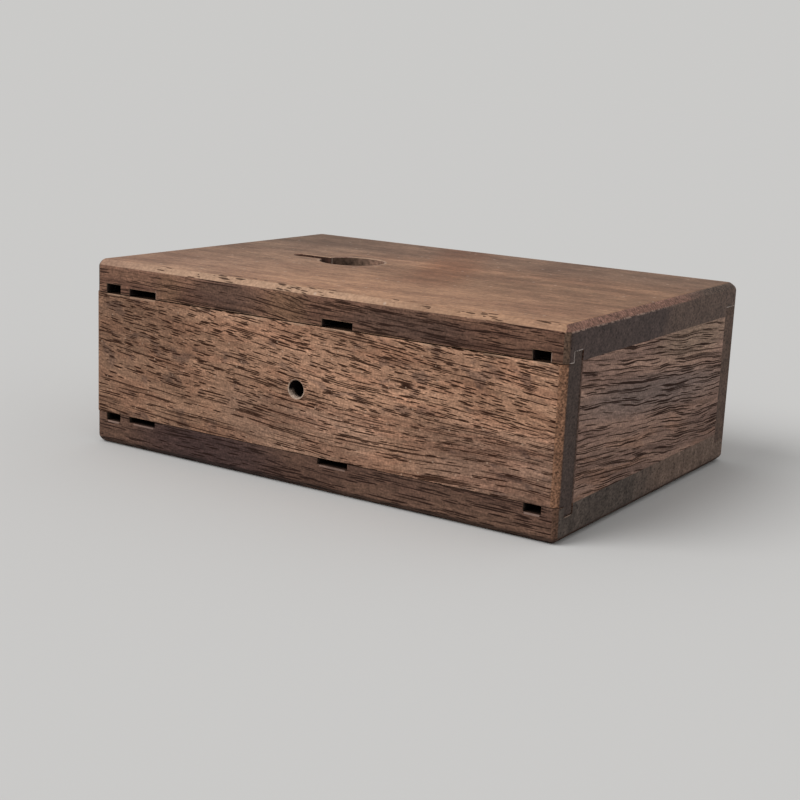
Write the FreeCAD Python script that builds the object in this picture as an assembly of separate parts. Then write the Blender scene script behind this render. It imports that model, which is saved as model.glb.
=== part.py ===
import FreeCAD, Part

# A small walnut box whose front board slides sideways out of grooves in the two plates.
# Millimetres. X runs along the front to the right, Y from front to back, Z up.
# The origin is the middle of the footprint, on the surface that the box stands on.

import math
import os

from FreeCAD import Vector

# The box as a whole
LENGTH = 100.0
DEPTH = 72.0
HEIGHT = 35.5
CHAMFER = 1.15         # on the outer edges of the box
CHAMFER_RIGHT = 0.85   # on the two upright edges at the right end, but not on the lid
CHAMFER_SOFT = 1.1     # rounding where a chamfer meets a face
ARRIS = 0.1            # easing of the sharp edges at seams, holes and notches

# Board thicknesses
PLATE = 6.1
LID = 5.3
BACK = 5.7
END = 5.3

# The joint between lid and plates
LIP = 2.3              # wood left in front of the groove
GROOVE_DEPTH = 1.75
RUN = 0.08             # running clearance round the tongue
TOP_GAP = 0.18         # the lid rests low, so its top seam is the open one
BOTTOM_GAP = 0.08
LID_OFFSET = -0.2      # where the lid was left, short of flush at the right end

# The back panel's rabbet
RABBET_DEPTH = 1.65

# Keyhole through the top plate
KEYHOLE_X = -16.0
KEYHOLE_RADIUS = 6.35
SLOT_WIDTH = 3.2
SLOT_END_X = -29.8

# Hole through the lid
LID_HOLE_X = -1.9
LID_HOLE_Z = 17.6
LID_HOLE_RADIUS = 1.6

# Notches in the two lips: middle along the front, width, height above, height below
NOTCHES = [
    (-45.15, 3.4, 1.65, 1.4),
    (-37.9, 6.4, 1.25, 1.05),
    (6.3, 6.3, 1.3, 1.05),
    (45.45, 3.2, 1.65, 1.4),
]
GAP_MARGIN = 0.3       # how much wider than its notch each gap in the tongue is

# Places that follow from these sizes
RIGHT = LENGTH / 2
FRONT = -DEPTH / 2
REAR = DEPTH / 2
SEAM_LOW = PLATE
SEAM_HIGH = HEIGHT - PLATE
GROOVE_FRONT = FRONT + LIP
GROOVE_REAR = FRONT + LID + RUN
BACK_FRONT = REAR - BACK
LID_LOW = SEAM_LOW + BOTTOM_GAP
LID_HIGH = SEAM_HIGH - TOP_GAP
BEYOND = 5.0           # how far a cutting shape runs past the wood


def block(low, high):
    """A box between two opposite corners."""
    size = Vector(*high) - Vector(*low)
    return Part.makeBox(size.x, size.y, size.z, Vector(*low))


def along_x(outline, start, end):
    """A (y, z) outline run from one X to another."""
    points = [Vector(start, y, z) for y, z in outline]
    face = Part.Face(Part.makePolygon(points + points[:1]))
    return face.extrude(Vector(end - start, 0, 0))


def outer_form(right_leg=CHAMFER_RIGHT, offset=0.0):
    """The whole box as one block, with chamfered edges whose borders are softened."""
    form = block((-RIGHT + offset, FRONT, 0), (RIGHT + offset, REAR, HEIGHT))
    right = [edge for edge in form.Edges if edge.Length == HEIGHT and edge.CenterOfMass.x > 0]
    others = [edge for edge in form.Edges if not any(edge.isSame(one) for one in right)]
    form = form.makeChamfer(CHAMFER, others).common(form.makeChamfer(right_leg, right))
    return form.makeFillet(CHAMFER_SOFT, form.Edges)


def plate_section(seam, side):
    """Section of a plate: lip, groove, inner face and rabbet. side is 1 above and -1 below."""
    outer = seam + side * (PLATE + BEYOND)
    groove = seam + side * GROOVE_DEPTH
    rabbet = seam + side * RABBET_DEPTH
    return [
        (FRONT - BEYOND, outer),
        (FRONT - BEYOND, seam + side * ARRIS),
        (FRONT, seam + side * ARRIS),
        (FRONT + ARRIS, seam),
        (GROOVE_FRONT, seam),
        (GROOVE_FRONT, groove),
        (GROOVE_REAR, groove),
        (GROOVE_REAR, seam),
        (BACK_FRONT, seam),
        (BACK_FRONT, rabbet),
        (REAR + BEYOND, rabbet),
        (REAR + BEYOND, outer),
    ]


def notch(middle, width, height, seam, side):
    """A square-cornered opening through the lip, eased where it meets the front face."""
    half = width / 2
    far = seam - side * BEYOND
    top = seam + side * height
    low, high = sorted((far, top))
    through = block((middle - half, FRONT - BEYOND, low), (middle + half, GROOVE_REAR, high))
    mouths = []
    for y, spread in ((FRONT, ARRIS), (FRONT + ARRIS, 0.0)):
        left, right = middle - half - spread, middle + half + spread
        edge = top + side * spread
        corners = [(left, far), (right, far), (right, edge), (left, edge)]
        points = [Vector(x, y, z) for x, z in corners]
        mouths.append(Part.makePolygon(points + points[:1]))
    return through.fuse(Part.makeLoft(mouths, True, True))


def plate(seam, side):
    """A plate with its groove, rabbet and notches, before anything is cut through it."""
    wood = along_x(plate_section(seam, side), -RIGHT - BEYOND, RIGHT + BEYOND)
    wood = wood.common(outer_form())
    for middle, width, height_above, height_below in NOTCHES:
        height = height_above if side > 0 else height_below
        wood = wood.cut(notch(middle, width, height, seam, side))
    return wood


def keyhole():
    """A round hole with a narrow round-ended slot leading left from it, eased at both faces."""
    def profile(z, spread):
        radius = KEYHOLE_RADIUS + spread
        half = SLOT_WIDTH / 2 + spread
        slot_middle = SLOT_END_X + SLOT_WIDTH / 2
        mouth_x = KEYHOLE_X - math.sqrt(radius**2 - half**2)
        upper, lower = Vector(mouth_x, half, z), Vector(mouth_x, -half, z)
        tip_upper, tip_lower = Vector(slot_middle, half, z), Vector(slot_middle, -half, z)
        tip = Vector(slot_middle - half, 0, z)
        round_far = Vector(KEYHOLE_X + radius, 0, z)
        edges = [
            Part.Arc(lower, round_far, upper),
            Part.LineSegment(upper, tip_upper),
            Part.Arc(tip_upper, tip, tip_lower),
            Part.LineSegment(tip_lower, lower),
        ]
        return Part.Wire([edge.toShape() for edge in edges])

    through = Part.Face(profile(SEAM_HIGH - BEYOND, 0)).extrude(Vector(0, 0, PLATE + 2 * BEYOND))
    eased_top = Part.makeLoft([profile(HEIGHT - ARRIS, 0), profile(HEIGHT, ARRIS)], True, True)
    eased_below = Part.makeLoft([profile(SEAM_HIGH + ARRIS, 0), profile(SEAM_HIGH, ARRIS)], True, True)
    return through.fuse([eased_top, eased_below])


def top_plate():
    return plate(SEAM_HIGH, 1).cut(keyhole())


def bottom_plate():
    return plate(SEAM_LOW, -1)


def back_panel():
    """Let into the rabbets of both plates, and full length, so that its end grain shows."""
    low = (-RIGHT, BACK_FRONT, SEAM_LOW - RABBET_DEPTH)
    high = (RIGHT, REAR, SEAM_HIGH + RABBET_DEPTH)
    return block(low, high).common(outer_form())


def end_panel(side):
    """Stands between the plates, behind the lid. side is 1 at the right end and -1 at the left."""
    inner, outer = side * (RIGHT - END), side * RIGHT
    left, right = sorted((inner, outer))
    return block((left, GROOVE_REAR, SEAM_LOW), (right, BACK_FRONT, SEAM_HIGH))


def lid_section():
    """Section of the lid: the front face, flush with the lips, and a tongue above and below."""
    tongue_front = GROOVE_FRONT + RUN
    tongue_rear = FRONT + LID
    tongue_high = SEAM_HIGH + GROOVE_DEPTH - RUN
    tongue_low = SEAM_LOW - GROOVE_DEPTH + RUN
    return [
        (FRONT, LID_LOW + ARRIS),
        (FRONT, LID_HIGH - ARRIS),
        (FRONT + ARRIS, LID_HIGH),
        (tongue_front, LID_HIGH),
        (tongue_front, tongue_high),
        (tongue_rear, tongue_high),
        (tongue_rear, tongue_low),
        (tongue_front, tongue_low),
        (tongue_front, LID_LOW),
        (FRONT + ARRIS, LID_LOW),
    ]


def lid_hole():
    """The round hole through the lid, eased at its front."""
    toward_front = Vector(0, -1, 0)
    middle_z = LID_HOLE_Z
    through = Part.makeCylinder(
        LID_HOLE_RADIUS, LID + 2 * BEYOND, Vector(LID_HOLE_X, FRONT + LID + BEYOND, middle_z), toward_front)
    eased = Part.makeCone(
        LID_HOLE_RADIUS, LID_HOLE_RADIUS + ARRIS, ARRIS, Vector(LID_HOLE_X, FRONT + ARRIS, middle_z), toward_front)
    return through.fuse(eased)


def tongue_gap(middle, width):
    """A gap in both tongues behind a notch, down to the lid's shoulders."""
    half = width / 2 + GAP_MARGIN
    rear = FRONT + LID + BEYOND
    above = block((middle - half, FRONT, LID_HIGH), (middle + half, rear, HEIGHT))
    below = block((middle - half, FRONT, 0), (middle + half, rear, LID_LOW))
    return above.fuse(below)


def sliding_lid():
    wood = along_x(lid_section(), -RIGHT + LID_OFFSET, RIGHT + LID_OFFSET)
    wood = wood.common(outer_form(CHAMFER, LID_OFFSET)).cut(lid_hole())
    for middle, width, _, _ in NOTCHES:
        wood = wood.cut(tongue_gap(middle, width))
    return wood


PIECES = {
    "top_plate": top_plate(),
    "bottom_plate": bottom_plate(),
    "back_panel": back_panel(),
    "left_end_panel": end_panel(-1),
    "right_end_panel": end_panel(1),
    "sliding_lid": sliding_lid(),
}

os.makedirs("parts", exist_ok=True)
for name, shape in PIECES.items():
    solid = shape.removeSplitter().Solids[0]
    box = solid.optimalBoundingBox()
    print(
        f"{name}: valid {solid.isValid()}, solids {len(solid.Solids)}, volume {solid.Volume:.1f}, "
        f"x {box.XMin:.2f} {box.XMax:.2f}, y {box.YMin:.2f} {box.YMax:.2f}, z {box.ZMin:.2f} {box.ZMax:.2f}")
    solid.exportStep(f"parts/{name}.step")
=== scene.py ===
import math

import bpy
from mathutils import Matrix, Vector

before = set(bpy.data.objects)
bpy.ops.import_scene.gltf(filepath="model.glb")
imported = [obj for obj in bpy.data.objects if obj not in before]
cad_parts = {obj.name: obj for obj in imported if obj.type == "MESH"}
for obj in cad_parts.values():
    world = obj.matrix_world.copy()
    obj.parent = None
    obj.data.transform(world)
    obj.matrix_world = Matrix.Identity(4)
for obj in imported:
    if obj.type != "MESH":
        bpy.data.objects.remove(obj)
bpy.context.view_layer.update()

# The photograph's camera, in the row frame, in metres and degrees
CAMERA_PLACE = Vector((0.14885, -0.23775, 0.07253))
CAMERA_AZIMUTH = 32.63     # 0 looks along +Y
CAMERA_ELEVATION = 12.573
CAMERA_ROLL = 2.552        # the right side of the picture tips up
CAMERA_LENS = 66.475       # mm
SENSOR_WIDTH = 36.0        # mm

# Light and setting
FLOOR_COLOUR = (0.60, 0.595, 0.585)
BACKDROP_COLOUR = (0.594, 0.590, 0.579)
SKY_STRENGTH = 0.60
KEY_STRENGTH = 1.75
KEY_DIRECTION = Vector((-0.42, -0.60, 0.72))
KEY_ANGLE = 40.0
FLOOR_SIZE = 6.0

# How much light each side gets, against the top
FRONT_LIGHT = 0.95
BOTTOM_LIGHT = 0.92        # the bottom plate's front edge
END_LIGHT = 0.60           # the right end
TOP_END_LIGHT = 0.62       # the top plate's right end

# Sizes in millimetres, from the boards
MM_PER_METRE = 1000.0
HALF_LENGTH = 50.0
FRONT = -36.0
LOW_SEAM = 6.1
LID_TOP = 29.22
GROOVE_REAR = -30.62
GROOVE_HIGH = 31.3
GROOVE_LOW = 4.2
HOLE_X = -1.9
HOLE_Z = 17.6
HOLE_RADIUS = 1.6
KEYHOLE_X = -16.0
KEYHOLE_RADIUS = 6.35
SLOT_REACH = 13.8          # from the keyhole's middle to the slot's end
SLOT_HALF = 1.6

# Middles and half widths of the pale wear and painted highlight above and below the notches
NOTCH_WEAR_AND_HIGHLIGHT = ((-45.15, 1.5), (-37.9, 3.0), (6.3, 2.9), (45.45, 1.4))

# The surface
PORE_DEPTH = 0.05          # mm
OIL_SHINE = 0.12           # Specular IOR Level of the thin oil


class Graph:
    """One material's nodes, built with short calls. A value is a number, a colour, a vector or a socket."""

    def __init__(self, name):
        self.material = bpy.data.materials.new(name)
        self.material.use_nodes = True
        self.tree = self.material.node_tree
        self.tree.nodes.clear()

    def node(self, kind, **settings):
        made = self.tree.nodes.new(kind)
        for key, value in settings.items():
            setattr(made, key, value)
        return made

    def feed(self, socket, value):
        if isinstance(value, bpy.types.NodeSocket):
            self.tree.links.new(value, socket)
        else:
            socket.default_value = value

    def math(self, operation, *values):
        made = self.node("ShaderNodeMath", operation=operation)
        for socket, value in zip(made.inputs, values):
            self.feed(socket, value)
        return made.outputs[0]

    def add(self, *values):
        total = values[0]
        for value in values[1:]:
            total = self.math("ADD", total, value)
        return total

    def times(self, *values):
        total = values[0]
        for value in values[1:]:
            total = self.math("MULTIPLY", total, value)
        return total

    def minus(self, a, b):
        return self.math("SUBTRACT", a, b)

    def size(self, a):
        return self.math("ABSOLUTE", a)

    def most(self, *values):
        total = values[0]
        for value in values[1:]:
            total = self.math("MAXIMUM", total, value)
        return total

    def scaled(self, value, factor, offset):
        """value times factor, plus offset."""
        return self.math("MULTIPLY_ADD", value, factor, offset)

    def between(self, share, a, b):
        """a where share is 0, b where it is 1."""
        return self.scaled(share, self.minus(b, a), a)

    def around(self, value, swing):
        """A 0 to 1 pattern turned into a factor that swings round 1."""
        return self.scaled(value, 2 * swing, 1 - swing)

    def vector(self, x, y, z):
        made = self.node("ShaderNodeCombineXYZ")
        for socket, value in zip(made.inputs, (x, y, z)):
            self.feed(socket, value)
        return made.outputs[0]

    def split(self, vector):
        made = self.node("ShaderNodeSeparateXYZ")
        self.feed(made.inputs[0], vector)
        return made.outputs[0], made.outputs[1], made.outputs[2]

    def spread(self, at, shift, length, width, depth):
        """The place in steps of length, width and depth, moved by shift so that no two patterns agree."""
        made = self.node("ShaderNodeMapping", vector_type="POINT")
        self.feed(made.inputs["Vector"], at)
        self.feed(made.inputs["Location"], (shift, shift * 1.7, shift * 0.6))
        self.feed(made.inputs["Scale"], (1 / length, 1 / width, 1 / depth))
        return made.outputs[0]

    def noise(self, at, detail=2.0, roughness=0.5):
        made = self.node("ShaderNodeTexNoise", noise_dimensions="3D")
        for key, value in (("Vector", at), ("Scale", 1.0), ("Detail", detail), ("Roughness", roughness)):
            self.feed(made.inputs[key], value)
        return made.outputs["Fac"]

    def wander(self, at, swing, *sizes):
        """A slow drift to either side of 0, from a shift, a length, a width and a depth."""
        slow = self.noise(self.spread(at, *sizes), detail=1.0)
        return self.times(self.minus(slow, 0.5), 2 * swing)

    def cells(self, at):
        """Distance to the nearest of scattered points, and three random numbers that belong to that point."""
        made = self.node("ShaderNodeTexVoronoi", voronoi_dimensions="3D", feature="F1")
        self.feed(made.inputs["Vector"], at)
        self.feed(made.inputs["Scale"], 1.0)
        return made.outputs["Distance"], self.split(made.outputs["Color"])

    def ramp(self, value, low, high, to_low=0.0, to_high=1.0):
        """value from low to high becomes to_low to to_high, held at the ends."""
        made = self.node("ShaderNodeMapRange", interpolation_type="SMOOTHSTEP")
        for socket, number in zip(made.inputs, (value, low, high, to_low, to_high)):
            self.feed(socket, number)
        return made.outputs[0]

    def within(self, value, low, high, soft):
        """1 between low and high, falling to 0 over a width of soft outside them."""
        return self.times(self.ramp(value, low - soft, low), self.ramp(value, high + soft, high))

    def spot(self, x, z, middle_x, middle_z, half_x, half_z):
        """A soft oval patch, 1 in its middle."""
        across = self.times(self.minus(x, middle_x), 1 / half_x)
        up = self.times(self.minus(z, middle_z), 1 / half_z)
        return self.ramp(self.add(self.times(across, across), self.times(up, up)), 1.0, 0.0)

    def mix(self, factor, a, b, blend="MIX"):
        made = self.node("ShaderNodeMix", data_type="RGBA", blend_type=blend, clamp_factor=True)
        colours = [s for s in made.inputs if s.type == "RGBA"]
        self.feed(made.inputs["Factor"], factor)
        self.feed(colours[0], as_colour(a))
        self.feed(colours[1], as_colour(b))
        return next(s for s in made.outputs if s.type == "RGBA")

    def tint(self, amount, colour, factors):
        """A colour that is partly, by amount, itself times three factors."""
        return self.mix(amount, colour, self.mix(1.0, colour, factors, "MULTIPLY"))

    def dim(self, colour, *factors):
        """A colour times some numbers."""
        made = self.node("ShaderNodeVectorMath", operation="SCALE")
        self.feed(made.inputs[0], colour)
        self.feed(made.inputs["Scale"], self.times(*factors) if len(factors) > 1 else factors[0])
        return made.outputs[0]


def as_colour(value):
    """A plain colour with its alpha added. Anything else stays as it is."""
    if isinstance(value, tuple) and len(value) == 3:
        return (*value, 1.0)
    return value


def seen(red, green, blue, light=1.0):
    """The surface colour that looks like this sRGB colour under that much light."""
    def linear(value):
        share = value / 255
        return share / 12.92 if share <= 0.04045 else ((share + 0.055) / 1.055) ** 2.4
    return tuple(linear(value) / light for value in (red, green, blue))


def flat_material(name, colour):
    """A plain colour for the floor."""
    graph = Graph(name)
    shader = graph.node("ShaderNodeBsdfDiffuse")
    graph.feed(shader.inputs["Color"], as_colour(colour))
    output = graph.node("ShaderNodeOutputMaterial")
    graph.tree.links.new(shader.outputs[0], output.inputs["Surface"])
    return graph.material


class Walnut(Graph):
    """A walnut board. Places are in millimetres in the row frame, and the grain runs along x or y."""

    def __init__(self, name):
        super().__init__(name)
        coordinates = self.node("ShaderNodeTexCoord")
        metres = self.split(coordinates.outputs["Object"])
        self.x, self.y, self.z = (self.times(value, MM_PER_METRE) for value in metres)
        self.nx, self.ny, self.nz = self.split(coordinates.outputs["Normal"])
        self.place = self.vector(self.x, self.y, self.z)
        # 1 on the two ends with their chamfers, and 1 on the flat ends alone
        self.sloped = self.ramp(self.size(self.nx), 0.30, 0.42)
        self.ended = self.ramp(self.size(self.nx), 0.84, 0.95)

    def lay(self, along, across, through, rise, sway=0.6, quiver=0.05):
        """Sets the wood's own space: along the grain, across it less its bends, and through the board."""
        rough = self.vector(along, across, through)
        bend = self.wander(rough, sway, 3.1, 20.0, 8.0, 9.0)
        shake = self.wander(rough, quiver, 8.3, 4.0, 1.6, 1.6)
        level = self.minus(across, self.add(rise, bend, shake))
        self.wood = self.vector(along, level, through)

    def dashes(self, at, shift, length, width, reach, density):
        """Open pores: thin dark ovals drawn out along the grain. Also gives the rim around each one."""
        distance, (size, chance, _) = self.cells(self.spread(at, shift, length, width, width * 1.5))
        ratio = self.math("DIVIDE", distance, self.times(self.scaled(size, 0.5, 0.70), reach))
        kept = self.ramp(self.minus(density, chance), -0.04, 0.04)
        pore = self.times(self.ramp(ratio, 1.08, 0.80), kept)
        rim = self.times(self.within(ratio, 1.15, 1.5, 0.25), kept)
        return pore, rim

    def dots(self, shift, size, reach=0.36):
        """Pores cut across, as on a slope at the board's end."""
        distance, (chance, _, _) = self.cells(self.spread(self.place, shift, size, size, size))
        radius = self.times(self.scaled(chance, 0.8, 0.6), reach)
        return self.ramp(self.math("DIVIDE", distance, radius), 1.1, 0.7)

    def streaks(self, shift, length, width, low, high):
        """Broken lines along the grain, where a drawn-out noise rises above low."""
        drawn_out = self.noise(self.spread(self.wood, shift, length, width, width * 1.5), detail=1.0)
        return self.ramp(drawn_out, low, high)

    def pores(self, seed, short, long, lines, lengths=(3.5, 8.0, 18.0), width=0.36):
        """Open pores of three lengths, each over its own share of the surface, with their rims."""
        dash, medium, line = lengths
        dashes, dash_rims = self.dashes(self.wood, seed + 0.2, dash, width, 0.37, short)
        longer, longer_rims = self.dashes(self.wood, seed + 0.4, medium, width, 0.35, long)
        fewer = self.times(lines, 0.7)
        drawn_out, _ = self.dashes(self.wood, seed + 1.3, line, width * 1.05, 0.35, fewer)
        faint = self.times(self.streaks(seed + 0.6, line, width * 1.6, 0.60, 0.68), lines, 0.35)
        return self.most(dashes, longer, self.times(drawn_out, 0.9), faint), self.most(dash_rims, longer_rims)

    def tone(self, shift, length, width, detail=2.0):
        """Broad change of shade that follows the grain."""
        return self.noise(self.spread(self.wood, shift, length, width, width), detail=detail)

    def fleck(self, shift, size, detail=1.0):
        """Even speckle with no direction."""
        return self.noise(self.spread(self.place, shift, size, size, size), detail=detail)

    def fibre(self, colour, seed, swing=1.0):
        """Fine streaks and speckle over a plain wood colour."""
        fine = self.noise(self.spread(self.wood, seed, 1.7, 0.26, 0.26), detail=1.0)
        broad = self.noise(self.spread(self.wood, seed + 0.7, 9.0, 0.6, 0.6), detail=2.0)
        return self.dim(colour, self.around(fine, 0.6 * swing), self.around(broad, 0.42 * swing),
                        self.around(self.fleck(seed + 0.9, 0.42), 0.6 * swing))

    def end_grain(self, colour, seed):
        """Plain, with a close dark speckle and faint clouds."""
        fine = self.noise(self.spread(self.place, seed, 0.5, 0.6, 0.36), detail=1.0)
        pits = self.times(self.dots(seed + 0.5, 0.9, 0.25), 0.45)
        return self.dim(colour, self.around(fine, 0.8), self.around(self.fleck(seed + 0.3, 1.8), 0.35),
                        self.minus(1.0, pits))

    def specks(self, colour, shift, size, strength, shade):
        """A few small pale specks, as dust and torn fibre leave on open-pored wood."""
        distance, (chance, _, _) = self.cells(self.spread(self.place, shift, size, size, size))
        found = self.times(self.ramp(distance, 0.16, 0.08), self.ramp(chance, 0.55, 0.6), strength)
        return self.mix(found, colour, shade)

    def toward_front(self):
        """1 where the surface faces the front, or leans well toward it."""
        return self.ramp(self.ny, -0.3, -0.5)

    def away_from_ends(self, pores):
        """The pores without those on the end grain."""
        return self.times(pores, self.minus(1.0, self.ended))

    def finish(self, colour, pores, roughness=0.68):
        """The matte surface, with its pores sunk a little and rougher than the rest."""
        relief = self.node("ShaderNodeBump")
        self.feed(relief.inputs["Strength"], 1.0)
        self.feed(relief.inputs["Distance"], PORE_DEPTH / MM_PER_METRE)
        ripple = self.times(self.noise(self.spread(self.wood, 5.5, 2.0, 0.3, 0.3), detail=1.0), 0.3)
        self.feed(relief.inputs["Height"], self.minus(ripple, pores))
        shader = self.node("ShaderNodeBsdfPrincipled")
        self.feed(shader.inputs["Base Color"], colour)
        self.feed(shader.inputs["Roughness"], self.scaled(pores, 0.2, roughness))
        self.feed(shader.inputs["Specular IOR Level"], OIL_SHINE)
        self.feed(shader.inputs["Normal"], relief.outputs[0])
        output = self.node("ShaderNodeOutputMaterial")
        self.tree.links.new(shader.outputs[0], output.inputs["Surface"])
        return self.material


def lid_walnut():
    """Flat-sawn, warm and light, with dense short pores above and long fine ones below."""
    w = Walnut("lid_walnut")
    upper = w.add(w.times(w.x, -0.10), w.ramp(w.x, 10.0, 50.0, 0.0, 0.8))
    lower = w.add(w.times(w.x, -0.06), w.ramp(w.x, 4.0, 46.0, 0.0, 3.0))
    high = w.ramp(w.z, 11.0, 19.0)
    w.lay(w.x, w.z, w.y, w.between(high, lower, upper))

    # Pores crowd together along the rings, most of all at the upper right
    rings = w.tone(1.0, 4.6, 2.2, detail=1.0)
    density = w.ramp(rings, 0.34, 0.52, w.between(high, 0.3, 0.5), 1.0)
    right = w.ramp(w.x, -20.0, 20.0, 0.9, 1.1)
    short = w.times(density, w.between(high, 0.32, 1.22), right)
    long = w.times(density, w.between(high, 0.5, 0.65))
    lines = w.times(w.between(high, 1.6, 0.30), w.ramp(rings, 0.32, 0.5, 0.5, 1.0))
    pores, rims = w.pores(2.0, short, long, lines, lengths=(3.1, 8.5, 24.0), width=0.335)

    broad = w.ramp(w.tone(7.0, 24.0, 6.0), 0.3, 0.7)
    colour = w.mix(broad, seen(132, 100, 80, FRONT_LIGHT), seen(158, 122, 99, FRONT_LIGHT))
    ruddy = w.ramp(w.tone(15.0, 11.0, 2.6), 0.46, 0.62)
    colour = w.tint(w.times(ruddy, 0.5), colour, (0.88, 0.77, 0.74))
    left_end = w.ramp(w.x, -18.0, -50.0, 1.03, 0.83)
    lower_right = w.times(w.ramp(w.x, 12.0, 36.0), w.ramp(w.z, 20.0, 13.0))
    lower_left = w.ramp(w.add(w.x, w.z), 20.0, -10.0, 1.0, 0.84)
    colour = w.dim(colour, left_end, lower_left, w.scaled(lower_right, -0.26, 1.0),
                   w.ramp(w.x, -10.0, 14.0, 0.96, 1.06))
    colour = w.tint(w.times(lower_right, 0.8), colour, (0.92, 0.97, 1.08))
    lower_middle = w.times(w.within(w.x, -14.0, 12.0, 8.0), w.ramp(w.z, 18.0, 13.0))
    colour = w.tint(w.times(lower_middle, 0.8), colour, (0.97, 1.02, 1.09))
    smudge = w.times(w.ramp(w.tone(11.0, 4.2, 2.4), 0.53, 0.66), w.ramp(rings, 0.40, 0.54))
    colour = w.tint(w.times(smudge, w.scaled(lower_middle, -0.4, 0.75)), colour, (0.48, 0.50, 0.56))
    colour = w.fibre(colour, 9.0, 1.12)
    colour = w.dim(colour, w.scaled(rims, 0.22, 1.0))
    colour = w.mix(w.times(pores, 0.96), colour, seen(44, 21, 9))
    colour = w.specks(colour, 6.1, 1.5, 0.45, seen(190, 160, 138))

    # The top edge is painted pale in places and below the notches: partly wear, partly a painted highlight
    # along its arris
    pale_edge_patches = w.most(w.ramp(w.tone(12.0, 7.0, 2.0), 0.46, 0.6), at_notches(w))
    worn = w.times(w.ramp(w.z, LID_TOP - 0.5, LID_TOP - 0.15), w.toward_front(), pale_edge_patches)
    colour = w.mix(w.times(worn, 0.5), colour, seen(190, 156, 130))

    # The slope at each end shows cut pores as dots in a warmer brown. The end itself is dark and plain
    warm = w.dim(seen(126, 92, 71, 0.86), w.around(w.fleck(5.1, 0.38), 1.5), w.around(w.fleck(5.6, 1.6), 0.4))
    slope = w.mix(w.times(w.dots(4.1, 0.58, 0.32), 0.6), warm, seen(62, 42, 32))
    colour = w.mix(w.times(w.sloped, 0.9), colour, w.specks(slope, 6.6, 0.7, 0.4, seen(172, 140, 116)))
    colour = w.mix(w.ended, colour, w.end_grain(seen(58, 48, 44, END_LIGHT), 4.5))
    return w.finish(lid_recesses(w, colour), w.away_from_ends(pores))


def lid_recesses(w, colour):
    """Gives the lid's hole a pale torn rim, painted shade deep inside with painted light on a crescent near
    the front, and paints shade on the shoulders behind the face.
    """
    across = w.minus(w.x, HOLE_X)
    up = w.minus(w.z, HOLE_Z)
    radius = w.math("SQRT", w.add(w.times(across, across), w.times(up, up)))
    leaning = w.minus(w.times(across, -0.35), up)
    torn = w.ramp(w.add(leaning, w.times(w.fleck(3.9, 0.5), 3.0)), 0.2, 2.2, 0.4, 1.0)
    rim = w.times(w.within(radius, HOLE_RADIUS, HOLE_RADIUS + 0.16, 0.08),
                  w.ramp(w.y, FRONT + 0.2, FRONT + 0.1), torn)
    pale = w.dim(seen(188, 166, 148), w.around(w.fleck(3.1, 0.35), 0.8))
    colour = w.mix(w.times(rim, 0.8), colour, pale)
    # The hole's wall: painted shade deep inside, and painted light on a crescent of its lower left wall near
    # the front
    near = w.ramp(radius, HOLE_RADIUS + 0.13, HOLE_RADIUS + 0.08)
    behind = w.ramp(w.y, FRONT + 0.10, FRONT + 0.12)
    lit = w.times(w.ramp(w.y, FRONT + 1.8, FRONT + 0.6), w.ramp(leaning, 0.6, 1.3))
    wall = w.mix(lit, seen(22, 17, 15), w.dim(seen(205, 182, 164), w.around(w.fleck(3.3, 0.36), 1.5)))
    colour = w.mix(w.times(near, behind), colour, wall)
    # Painted shade on the lid's top and bottom shoulders inside the groove, behind the face
    above = w.ramp(w.z, LID_TOP - 0.04, LID_TOP - 0.02)
    below = w.ramp(w.z, LOW_SEAM + 0.12, LOW_SEAM + 0.10)
    tongue_shade = w.times(w.most(above, below), w.ramp(w.size(w.x), HALF_LENGTH - 1.3, HALF_LENGTH - 1.8),
                    w.ramp(w.y, FRONT + 0.06, FRONT + 0.15))
    return w.dim(colour, w.scaled(tongue_shade, -0.85, 1.0))


def at_notches(w, group=NOTCH_WEAR_AND_HIGHLIGHT):
    """1 above and below each notch. The group gives their middles and half widths."""
    return w.most(*(w.within(w.x, middle - half, middle + half, 0.2) for middle, half in group))


def groove_painted_shade(w, colour, side):
    """Paints shade into a plate's groove and its notches, behind the face and within the ends, darker further
    in. side is 1 above.
    """
    groove = GROOVE_HIGH if side > 0 else GROOVE_LOW
    near = w.ramp(w.z, groove, groove - side * 0.1)
    inside = w.times(near, w.ramp(w.size(w.x), HALF_LENGTH - 1.3, HALF_LENGTH - 1.6),
                     w.ramp(w.y, GROOVE_REAR + 0.1, GROOVE_REAR + 0.02))
    depth = w.ramp(w.y, FRONT + 0.08, FRONT + 1.2, 0.5, 0.9)
    return w.dim(colour, w.minus(1.0, w.times(inside, depth, w.ramp(w.y, FRONT + 0.05, FRONT + 0.10))))


def joint_line(w, y_low, y_high, z_low, z_high):
    """A thin pale worn edge along a joint on the end faces."""
    return w.times(w.within(w.y, y_low, y_high, 0.07), w.within(w.z, z_low, z_high, 0.07), w.ended,
                   w.ramp(w.fleck(7.7, 0.6), 0.32, 0.46))


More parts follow.
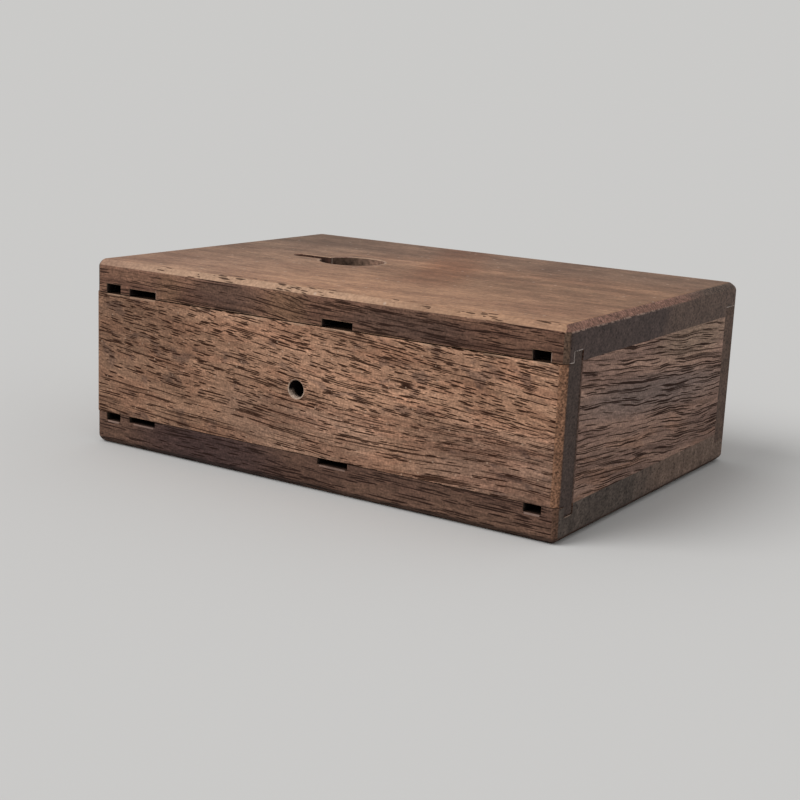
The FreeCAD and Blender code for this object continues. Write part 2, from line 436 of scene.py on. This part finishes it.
def top_edge(w):
    """The top plate's front edge: brown with fine dark lines, smoother in two places. Gives its pores too."""
    rings = w.tone(1.0, 10.0, 1.4, detail=1.0)
    density = w.ramp(rings, 0.36, 0.56, 0.2, 1.0)
    busy = w.ramp(w.x, -26.0, -4.0, 0.7, 1.1)
    calm = w.minus(1.0, w.times(w.spot(w.x, w.z, -17.0, 32.5, 10.0, 5.0), 0.75))
    swirl = w.spot(w.x, w.z, -4.5, 31.8, 6.0, 4.5)
    straight = w.times(density, busy, calm, w.minus(1.0, w.times(swirl, 0.7)))
    short = w.times(straight, 0.9)
    lines = w.times(w.ramp(rings, 0.3, 0.5, 0.4, 1.0), calm)
    pores, rims = w.pores(22.0, short, straight, lines, lengths=(4.5, 11.0, 22.0), width=0.31)
    slanted = w.vector(w.x, w.add(w.z, w.times(w.x, 0.30)), w.y)
    crossing, _ = w.dashes(slanted, 26.0, 3.4, 0.33, 0.38, w.times(swirl, 1.4))

    broad = w.ramp(w.tone(13.0, 18.0, 2.4), 0.3, 0.7)
    face = w.mix(broad, seen(92, 65, 53, FRONT_LIGHT), seen(119, 88, 71, FRONT_LIGHT))
    face = w.dim(face, w.ramp(w.x, -18.0, -40.0, 1.0, 1.10), w.ramp(w.x, -6.0, 26.0, 1.0, 0.89))
    yellowish = w.most(w.times(w.spot(w.x, w.z, -31.5, 31.5, 4.0, 4.0), 0.4), w.times(swirl, 0.5))
    face = w.mix(yellowish, face, seen(122, 93, 70, FRONT_LIGHT))
    shade = w.most(w.times(w.spot(w.x, w.z, -18.0, 32.5, 10.0, 4.0), 0.8),
                   w.times(w.spot(w.x, w.z, 20.0, 31.5, 17.0, 3.4), 0.85))
    face = w.mix(w.times(shade, 0.75), face, seen(70, 54, 48, FRONT_LIGHT))
    face = w.fibre(face, 9.0, 1.1)
    face = w.dim(face, w.scaled(rims, 0.10, 1.0))
    stain = w.times(w.spot(w.x, w.z, -15.0, 29.5, 9.0, 0.9), w.ramp(w.tone(16.0, 5.0, 1.0), 0.35, 0.55))
    face = w.mix(w.times(stain, 0.7), face, seen(38, 28, 25))
    pores = w.most(pores, w.times(crossing, 0.75))
    return w.mix(w.times(pores, 0.92), face, seen(38, 20, 12)), pores


def top_face(w):
    """The top plate's broad face: soft streaks, palest toward the front partly by painted light, greyed at
    the back left by a painted reflection, redder along a slanting band.
    """
    drift = w.wander(w.place, 3.5, 29.0, 34.0, 16.0, 16.0)
    flow = w.vector(w.x, w.add(w.y, drift), w.z)
    cloud = w.noise(w.spread(flow, 21.0, 13.0, 7.0, 9.0), detail=3.0)
    top = w.mix(w.ramp(cloud, 0.3, 0.7), seen(142, 108, 88), seen(166, 130, 106))
    slant = w.add(w.x, w.times(w.y, 0.42))
    long_streak = w.noise(w.spread(w.place, 33.0, 30.0, 1.6, 1.6), detail=2.0)
    red_band = w.times(w.within(slant, 3.0, 7.0, 7.0), w.ramp(w.y, -24.0, 0.0))
    top = w.tint(w.times(red_band, 0.7), top, (0.92, 0.74, 0.64))
    # A painted reflection: the back left of the face is greyed, as by a glancing reflection of grey
    # surroundings
    grey = w.times(w.spot(w.x, w.y, -40.0, 18.0, 34.0, 22.0), 0.5)
    top = w.tint(grey, top, (0.86, 0.93, 0.98))
    top = w.tint(w.times(w.ramp(w.x, -36.0, 4.0), w.ramp(w.y, 24.0, 8.0)), top, (1.0, 0.94, 0.86))
    light_streak = w.most(w.times(w.within(w.y, 8.0, 9.5, 2.2), w.ramp(w.x, -46.0, -20.0)),
                          w.times(w.ramp(w.y, FRONT + 5.0, FRONT + 1.5), w.ramp(long_streak, 0.4, 0.6), 0.4))
    streak_wide = w.noise(w.spread(flow, 14.0, 40.0, 3.0, 3.2), detail=2.0)
    streak_fine = w.noise(w.spread(flow, 17.0, 10.0, 0.7, 0.6), detail=3.0, roughness=0.7)
    hair = w.noise(w.spread(flow, 19.0, 4.5, 0.32, 0.4), detail=2.0)
    # The ramps in y darken the face toward the back: partly the wood's own tone, partly painted light
    top = w.dim(
        top, w.ramp(w.y, -34.0, 0.0, 1.04, 0.76), w.ramp(w.y, 0.0, 34.0, 1.0, 0.72),
        w.add(w.ramp(w.x, -50.0, -10.0, 0.88, 1.06), w.ramp(w.x, -6.0, 20.0, 0.0, -0.14)),
        w.around(streak_wide, 0.42), w.around(streak_fine, 0.42), w.around(hair, 0.55),
        w.around(w.fleck(2.5, 0.6, detail=2.0), 0.45), w.around(w.fleck(4.5, 3.0), 0.2),
        w.scaled(light_streak, 0.14, 1.0))
    fine_pores, _ = w.dashes(flow, 35.0, 3.2, 0.3, 0.36, w.ramp(streak_fine, 0.42, 0.6, 0.2, 0.8))
    top = w.mix(w.times(fine_pores, 0.45), top, seen(84, 60, 48))
    slope = w.mix(w.ramp(w.x, -50.0, -28.0), seen(150, 120, 102), seen(175, 143, 119))
    slope = w.dim(slope, w.ramp(w.x, 8.0, 46.0, 1.0, 0.86), w.around(streak_fine, 0.25),
                  w.around(w.fleck(2.9, 0.5), 0.5))
    facing_front = w.ramp(w.ny, -0.15, -0.45)
    top = w.mix(w.times(facing_front, w.ramp(w.x, 0.0, 30.0, 0.8, 0.35)), top, slope)
    return w.specks(top, 9.3, 2.4, 0.4, seen(196, 176, 160))


def keyhole_wear_and_shade(w, colour):
    """The keyhole's rim is worn pale, its round wall darkens toward the slot, and the slot walls are painted
    with shade.
    """
    across = w.minus(w.x, KEYHOLE_X)
    radius = w.math("SQRT", w.add(w.times(across, across), w.times(w.y, w.y)))
    upward = w.ramp(w.nz, 0.5, 0.8)
    rim = w.times(w.within(radius, KEYHOLE_RADIUS + 0.1, KEYHOLE_RADIUS + 0.4, 0.2), upward,
                  w.ramp(w.fleck(8.8, 1.2), 0.32, 0.55), w.ramp(w.y, -3.5, 0.5, 0.3, 1.0))
    left_rim = w.times(rim, w.ramp(across, -4.0, -5.6), w.ramp(w.y, -1.0, -1.7))
    colour = w.mix(w.most(w.times(rim, 0.4), w.times(left_rim, 0.9)), colour, seen(192, 166, 146))
    wall = w.times(w.ramp(radius, KEYHOLE_RADIUS + 0.12, KEYHOLE_RADIUS + 0.06),
                   w.ramp(w.size(w.nz), 0.5, 0.3))
    grain = w.times(w.around(w.fleck(6.6, 0.8), 1.1), w.around(w.fleck(6.9, 2.2), 0.8))
    inner = w.mix(w.ramp(across, -2.0, 2.5), seen(100, 80, 68), seen(138, 108, 92))
    inner = w.mix(w.ramp(across, 4.8, 6.0), inner, seen(104, 82, 70))
    colour = w.mix(wall, colour, w.dim(inner, grain))
    corner = w.times(w.within(w.y, SLOT_HALF, SLOT_HALF + 0.25, 0.1), w.ramp(across, -5.7, -5.9), wall)
    colour = w.mix(w.times(corner, 0.6), colour, seen(200, 180, 165))
    # Painted shade on the slot's walls
    slot = w.times(w.ramp(w.size(w.y), SLOT_HALF + 0.15, SLOT_HALF + 0.10),
                   w.within(across, -SLOT_REACH - 0.2, -6.2, 0.2), w.ramp(w.size(w.nz), 0.7, 0.5))
    return w.mix(slot, colour, w.dim(seen(74, 51, 42), grain))


def top_walnut():
    """Smooth and pale on its face, and dark brown along its front edge."""
    w = Walnut("top_plate_walnut")
    rise = w.add(w.times(w.x, -0.03), w.ramp(w.x, -16.0, 0.0, 0.0, -1.2))
    w.lay(w.x, w.z, w.y, rise, sway=0.5)
    front = w.ramp(w.ny, -0.84, -0.89)
    face, pores = top_edge(w)
    top = top_face(w)

    # Small groups of pores on the slope between the two
    crowd = w.ramp(w.noise(w.spread(w.place, 23.0, 4.6, 2.0, 2.0), detail=1.0), 0.47, 0.56)
    reach = w.ramp(w.add(w.y, w.times(w.fleck(24.5, 3.0), 2.0)), FRONT + 3.9, FRONT + 2.6)
    spots, _ = w.dashes(w.wood, 24.0, 3.0, 0.33, 0.41, w.times(crowd, reach, w.ramp(w.x, -38.0, -30.0)))
    top = w.mix(w.times(spots, 0.85), top, seen(48, 30, 22))
    colour = w.mix(front, top, face)

    # The ends: dark end grain, browner toward the back, with slopes that are speckled and redder
    upright = w.ramp(w.nz, 0.5, 0.3)
    slope_colour = w.mix(w.ramp(w.add(w.y, w.times(w.fleck(5.2, 3.0), 8.0)), 8.0, 26.0),
                         seen(118, 87, 75, 0.82), seen(82, 68, 60, 0.82))
    slope_colour = w.mix(upright, slope_colour, seen(86, 68, 56, 0.85))
    slope_colour = w.dim(slope_colour, w.ramp(w.nx, -0.2, -0.4, 1.0, 0.7))
    torn = w.dim(slope_colour, w.around(w.fleck(5.5, 0.40), 1.3), w.around(w.fleck(5.9, 1.5), 0.4))
    colour = w.mix(w.sloped, colour, torn)
    # A painted highlight: a pale dotted line along the upper edge of each end, strongest toward the front
    arris = w.times(w.within(w.size(w.nx), 0.86, 0.95, 0.03), w.ramp(w.nz, 0.2, 0.3), w.ramp(w.y, 12.0, -6.0),
                    w.ramp(w.fleck(6.3, 0.7), 0.42, 0.56))
    brown = w.ramp(w.add(w.y, w.times(w.fleck(3.5, 4.0), 6.0)), 2.0, 8.0)
    end_tone = w.mix(brown, seen(60, 49, 46, TOP_END_LIGHT), seen(74, 60, 53, TOP_END_LIGHT))
    colour = w.mix(w.ended, colour, w.end_grain(end_tone, 4.5))
    colour = w.mix(w.times(arris, 0.5), colour, seen(158, 132, 118, 0.7))
    worn = w.most(joint_line(w, -33.86, -33.70, 29.5, 31.2), joint_line(w, -33.86, -31.0, 31.16, 31.28),
                  joint_line(w, -35.2, -33.8, 29.40, 29.54), joint_line(w, 30.6, 34.4, 31.06, 31.16))
    colour = w.mix(w.times(worn, 0.8), colour, seen(142, 132, 126, 0.65))

    # Two notches have a painted highlight on the arris at their right
    walls = w.most(w.within(w.x, -34.70, -34.56, 0.06), w.within(w.x, 47.05, 47.19, 0.06))
    corner = w.times(walls, w.ramp(w.z, 31.0, 30.8), w.toward_front())
    colour = w.mix(w.times(corner, 0.55), colour, seen(170, 148, 134))

    colour = keyhole_wear_and_shade(w, colour)
    return w.finish(groove_painted_shade(w, colour, 1), w.most(w.times(pores, front), spots), roughness=0.62)


def bottom_walnut():
    """Darker than the rest, nearly purple at the left of its front edge."""
    w = Walnut("bottom_plate_walnut")
    w.lay(w.x, w.z, w.y, w.times(w.x, -0.02), sway=0.5)
    rings = w.tone(31.0, 12.0, 1.5, detail=1.0)
    busy = w.ramp(w.x, -22.0, 6.0, 0.65, 1.0)
    density = w.times(w.ramp(rings, 0.36, 0.60, 0.2, 1.0), busy)
    lines = w.times(w.ramp(rings, 0.36, 0.56), busy, 0.9)
    pores, rims = w.pores(32.0, density, density, lines, lengths=(4.5, 11.0, 18.0), width=0.33)
    broad = w.ramp(w.tone(37.0, 20.0, 4.0), 0.3, 0.7)
    colour = w.mix(broad, seen(82, 60, 50, BOTTOM_LIGHT), seen(98, 74, 61, BOTTOM_LIGHT))
    purple = w.spot(w.x, w.z, -22.0, 3.0, 22.0, 10.0)
    colour = w.mix(w.times(purple, 0.9), colour, seen(62, 46, 44, BOTTOM_LIGHT))
    colour = w.fibre(colour, 39.0, 1.1)
    colour = w.dim(colour, w.scaled(rims, 0.10, 1.0))
    colour = w.mix(w.times(pores, 0.92), colour, seen(37, 21, 15))

    # The lower edge of each notch is chipped pale
    low = w.times(at_notches(w, ((-45.15, 1.3), (45.45, 1.3))), w.within(w.z, 4.40, 4.62, 0.08))
    flat = w.times(at_notches(w, ((-37.5, 2.4), (6.3, 2.6))), w.within(w.z, 4.76, 4.96, 0.08))
    chipped = w.times(w.most(low, w.times(flat, 0.7)), w.toward_front())
    colour = w.mix(w.times(chipped, 0.55), colour, seen(168, 142, 130))

    # The ends: greyer toward the front, with faint level rays
    torn = w.dim(seen(84, 62, 50, 0.80), w.around(w.fleck(5.5, 0.40), 1.3),
                 w.ramp(w.nx, -0.2, -0.4, 1.0, 0.8))
    colour = w.mix(w.sloped, colour, torn)
    brown = w.ramp(w.add(w.y, w.times(w.fleck(3.5, 4.0), 8.0)), -6.0, 12.0)
    rays = w.noise(w.spread(w.place, 27.0, 9.0, 1.6, 9.0), detail=2.0)
    end_tone = w.dim(w.mix(brown, seen(64, 56, 51, 0.56), seen(88, 73, 64, 0.56)), w.around(rays, 0.5))
    colour = w.mix(w.ended, colour, w.end_grain(end_tone, 4.5))
    colour = w.mix(w.times(joint_line(w, -33.6, -31.2, 4.24, 4.34), 0.6), colour, seen(140, 120, 106, 0.7))
    # Painted shade: faces turned down are darkened to 0.6, as where the box sits on the floor
    colour = w.dim(colour, w.ramp(w.nz, -0.25, -0.6, 1.0, 0.6))
    return w.finish(groove_painted_shade(w, colour, -1), w.away_from_ends(pores))


def end_walnut():
    """Grain runs front to back, with long wavy open pores and a greyer band at mid height."""
    w = Walnut("end_panel_walnut")
    w.lay(w.y, w.z, w.x, w.times(w.y, -0.085), sway=1.2, quiver=0.22)
    rings = w.tone(41.0, 24.0, 1.9, detail=1.0)
    density = w.ramp(rings, 0.34, 0.54, 0.3, 1.0)
    short, long = w.times(density, 0.7), w.times(density, 0.85)
    lines = w.ramp(rings, 0.30, 0.5, 0.4, 1.0)
    pores, rims = w.pores(42.0, short, long, lines, lengths=(8.0, 20.0, 34.0), width=0.32)
    broad = w.ramp(w.tone(47.0, 40.0, 3.2), 0.32, 0.68)
    colour = w.mix(broad, seen(98, 77, 68, END_LIGHT), seen(125, 100, 87, END_LIGHT))
    orange = w.times(w.ramp(w.tone(45.0, 14.0, 2.4), 0.52, 0.66), w.ramp(w.z, 16.0, 12.0), 0.35)
    colour = w.mix(orange, colour, seen(130, 96, 76, END_LIGHT))
    olive = w.times(w.spot(w.y, w.z, 16.0, 27.5, 22.0, 5.0), 0.7)
    colour = w.mix(olive, colour, seen(116, 97, 82, END_LIGHT))
    grey = w.times(w.spot(w.y, w.add(w.z, w.times(w.y, 0.06)), 0.0, 19.5, 42.0, 4.5), 0.8)
    colour = w.mix(grey, colour, seen(91, 78, 73, END_LIGHT))
    colour = w.dim(colour, w.ramp(w.z, 16.0, 10.0, 1.02, 0.90))
    colour = w.fibre(colour, 49.0)
    colour = w.dim(colour, w.scaled(rims, 0.14, 1.0))
    colour = w.mix(w.times(pores, 0.95), colour, seen(33, 16, 9, 0.7))
    # Painted light: the front and back end grain is lightened so the narrow gap behind the lid's end shows
    # less shade
    end = w.ramp(w.size(w.ny), 0.80, 0.93)
    colour = w.mix(end, colour, w.end_grain(seen(96, 78, 70, END_LIGHT), 4.5))
    return w.finish(colour, w.times(pores, w.minus(1.0, end)))


def back_walnut():
    """Plain straight-grained walnut. Only its right end grain shows in the photograph."""
    w = Walnut("back_panel_walnut")
    w.lay(w.x, w.z, w.y, w.times(w.x, 0.03), sway=1.0)
    rings = w.tone(51.0, 18.0, 2.2, detail=1.0)
    density = w.ramp(rings, 0.36, 0.60, 0.2, 1.0)
    pores, rims = w.pores(52.0, w.times(density, 0.8), density, w.times(w.ramp(rings, 0.4, 0.6), 0.7))
    broad = w.ramp(w.tone(57.0, 30.0, 5.0), 0.3, 0.7)
    colour = w.mix(broad, seen(112, 85, 69), seen(140, 107, 86))
    colour = w.fibre(colour, 59.0)
    colour = w.dim(colour, w.scaled(rims, 0.12, 1.0))
    colour = w.mix(w.times(pores, 0.9), colour, seen(42, 30, 25))
    colour = w.mix(w.ended, colour, w.end_grain(seen(73, 58, 50, TOP_END_LIGHT), 4.5))
    return w.finish(colour, w.away_from_ends(pores))


def dress(node, material):
    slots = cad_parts[node].data.materials
    slots.clear()
    slots.append(material)


def add_camera():
    data = bpy.data.cameras.new("camera")
    data.lens = CAMERA_LENS
    data.sensor_width = SENSOR_WIDTH
    data.clip_start = 0.01
    camera = bpy.data.objects.new("camera", data)
    turn = (Matrix.Rotation(math.radians(CAMERA_AZIMUTH), 4, "Z")
            @ Matrix.Rotation(math.radians(90 - CAMERA_ELEVATION), 4, "X")
            @ Matrix.Rotation(math.radians(CAMERA_ROLL), 4, "Z"))
    camera.matrix_world = Matrix.Translation(CAMERA_PLACE) @ turn
    bpy.context.scene.collection.objects.link(camera)
    bpy.context.scene.camera = camera


def add_floor():
    half = FLOOR_SIZE / 2
    corners = [(-half, -half, 0), (half, -half, 0), (half, half, 0), (-half, half, 0)]
    mesh = bpy.data.meshes.new("floor")
    mesh.from_pydata(corners, [], [(0, 1, 2, 3)])
    floor = bpy.data.objects.new("floor", mesh)
    bpy.context.scene.collection.objects.link(floor)
    mesh.materials.append(flat_material("floor", FLOOR_COLOUR))


def add_light():
    """A soft key from the front left and an even sky. The camera and reflections see the backdrop instead."""
    key = bpy.data.lights.new("key", "SUN")
    key.energy = KEY_STRENGTH
    key.angle = math.radians(KEY_ANGLE)
    lamp = bpy.data.objects.new("key", key)
    lamp.rotation_mode = "QUATERNION"
    lamp.rotation_quaternion = KEY_DIRECTION.to_track_quat("Z", "Y")
    bpy.context.scene.collection.objects.link(lamp)

    world = bpy.data.worlds.new("studio")
    bpy.context.scene.world = world
    world.use_nodes = True
    nodes, links = world.node_tree.nodes, world.node_tree.links
    nodes.clear()
    sky, backdrop = nodes.new("ShaderNodeBackground"), nodes.new("ShaderNodeBackground")
    sky.inputs["Color"].default_value = (1, 1, 1, 1)
    sky.inputs["Strength"].default_value = SKY_STRENGTH
    backdrop.inputs["Color"].default_value = as_colour(BACKDROP_COLOUR)
    rays, either, output = (nodes.new(kind) for kind in (
        "ShaderNodeLightPath", "ShaderNodeMixShader", "ShaderNodeOutputWorld"))
    shown = rays.outputs["Is Camera Ray"]
    for ray in ("Is Glossy Ray", "Is Transmission Ray"):
        most = nodes.new("ShaderNodeMath")
        most.operation = "MAXIMUM"
        links.new(shown, most.inputs[0])
        links.new(rays.outputs[ray], most.inputs[1])
        shown = most.outputs[0]
    links.new(shown, either.inputs[0])
    links.new(sky.outputs[0], either.inputs[1])
    links.new(backdrop.outputs[0], either.inputs[2])
    links.new(either.outputs[0], output.inputs["Surface"])


bpy.context.scene.view_settings.view_transform = "Standard"
add_camera()
add_floor()
add_light()

ends = end_walnut()
dress("top_plate", top_walnut())
dress("bottom_plate", bottom_walnut())
dress("back_panel", back_walnut())
dress("left_end_panel", ends)
dress("right_end_panel", ends)
dress("sliding_lid", lid_walnut())
